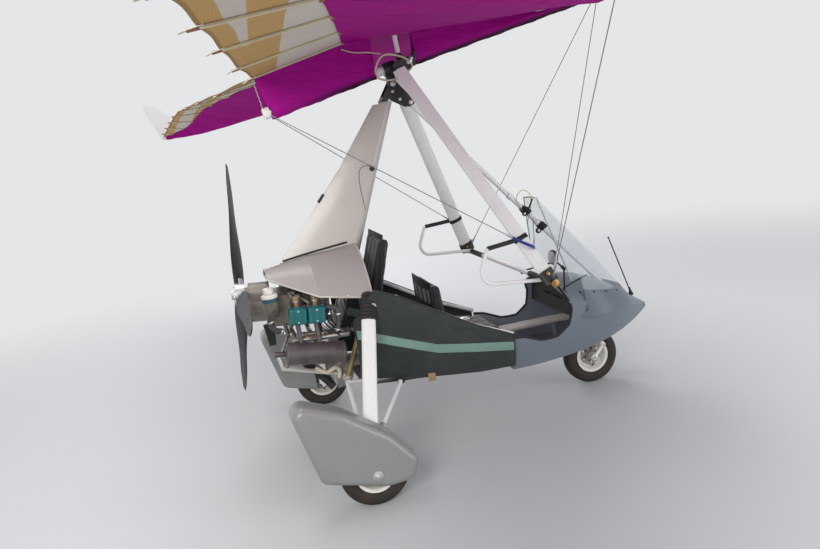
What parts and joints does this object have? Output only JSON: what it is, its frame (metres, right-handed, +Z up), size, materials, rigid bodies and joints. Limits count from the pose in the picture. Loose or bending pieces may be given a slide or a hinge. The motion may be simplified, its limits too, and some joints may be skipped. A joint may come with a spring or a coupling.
{
  "type": "two-seat flex-wing microlight aircraft",
  "caption": "Tandem weight-shift microlight: open trike with pod, pusher engine and propeller, tricycle gear with spats, under a swept fabric wing with control frame and tip fins.",
  "frame": {"origin": "on the ground, on the centre line, midway between the pod nose and the tail of the tip fins", "axes": "+X to the nose, +Y to port (the left of a seated pilot), +Z up"},
  "size_m": [3.171, 9.9, 3.3181],
  "materials": {
    "sail_fabric": "satin woven sailcloth",
    "white_tube": "gloss white",
    "steel_frame": "gloss light grey",
    "alloy": "satin anodised",
    "black_metal": "satin black",
    "pod_shell": "gloss blue-grey moulding",
    "grey_shell": "gloss warm grey moulding",
    "white_shell": "gloss white moulding",
    "screen": "clear bent sheet",
    "panel_cloth": "dark green-grey coated cloth",
    "seat_cloth": "black padded cloth",
    "black_plastic": "black textured",
    "engine_metal": "cast alloy",
    "teal_cover": "teal enamel",
    "silencer_steel": "heat-dulled brown-grey steel",
    "rubber_tyre": "worn black",
    "rim_white": "off-white",
    "prop_composite": "black composite",
    "cable_steel": "stranded cable"
  },
  "bodies": {
    "trike": {"chassis": "steel_frame", "mast": "white_tube", "hang_bracket": "black_metal", "front_strut": "white_tube", "pod": "pod_shell", "windscreen": "screen", "side_panel_left": "panel_cloth", "side_panel_right": "panel_cloth", "belly_panel": "panel_cloth", "side_rails": "steel_frame", "seat_front": "seat_cloth", "seat_rear": "seat_cloth", "instrument_panel": "black_plastic", "mast_fairing": "grey_shell", "engine_cowl": "grey_shell", "engine": "engine_metal", "rocker_covers": "teal_cover", "carburettors": "black_plastic", "oil_tank": "black_metal", "silencer": "silencer_steel", "radiator": "alloy", "gear_leg_left": "white_tube", "gear_leg_right": "white_tube", "drag_rods": "white_tube", "spat_left": "grey_shell", "spat_right": "grey_shell", "aerial": "black_plastic"},
    "steering": {"front_fork": "white_tube", "front_axle": "alloy"},
    "front_wheel": {"tyre_front": "rubber_tyre", "rim_front": "rim_white"},
    "left_wheel": {"tyre_left": "rubber_tyre", "rim_left": "rim_white"},
    "right_wheel": {"tyre_right": "rubber_tyre", "rim_right": "rim_white"},
    "propeller": {"prop_hub": "alloy", "prop_blades": "prop_composite"},
    "hang_block": {"hang_block": "black_metal"},
    "wing": {"keel": "alloy", "keel_pocket": "sail_fabric", "kingpost": "alloy", "apex_bracket": "black_metal", "uprights": "white_tube", "base_bar": "white_tube", "corner_fittings": "black_metal", "training_bars": "white_tube", "rigging": "cable_steel", "wing_left": "sail_fabric", "wing_right": "sail_fabric", "winglets": "white_shell"}
  },
  "joints": [
    {"name": "front_wheel_spin", "type": "hinge", "parent": "steering", "child": "front_wheel", "pos_m": [1.1345, 0, 0.19], "axis": [0, 1, 0], "continuous": true},
    {"name": "left_wheel_spin", "type": "hinge", "parent": "trike", "child": "left_wheel", "pos_m": [-0.6005, 0.86, 0.19], "axis": [0, 1, 0], "continuous": true},
    {"name": "right_wheel_spin", "type": "hinge", "parent": "trike", "child": "right_wheel", "pos_m": [-0.6005, -0.86, 0.19], "axis": [0, 1, 0], "continuous": true},
    {"name": "steering_turn", "type": "hinge", "parent": "trike", "child": "steering", "pos_m": [1.0895, 0, 0.5], "axis": [-0.342, 0, 0.9397], "range_deg": [-22, 22]},
    {"name": "propeller_spin", "type": "hinge", "parent": "trike", "child": "propeller", "pos_m": [-1.0745, 0, 1.105], "axis": [0.9925, 0, -0.1219], "continuous": true},
    {"name": "wing_pitch", "type": "hinge", "parent": "trike", "child": "hang_block", "pos_m": [0.0545, 0, 2.175], "axis": [0, 1, 0], "range_deg": [-11, 12]},
    {"name": "wing_roll", "type": "hinge", "parent": "hang_block", "child": "wing", "pos_m": [0.0545, 0, 2.266], "axis": [0.9824, 0, 0.1867], "range_deg": [-15, 15]}
  ]
}
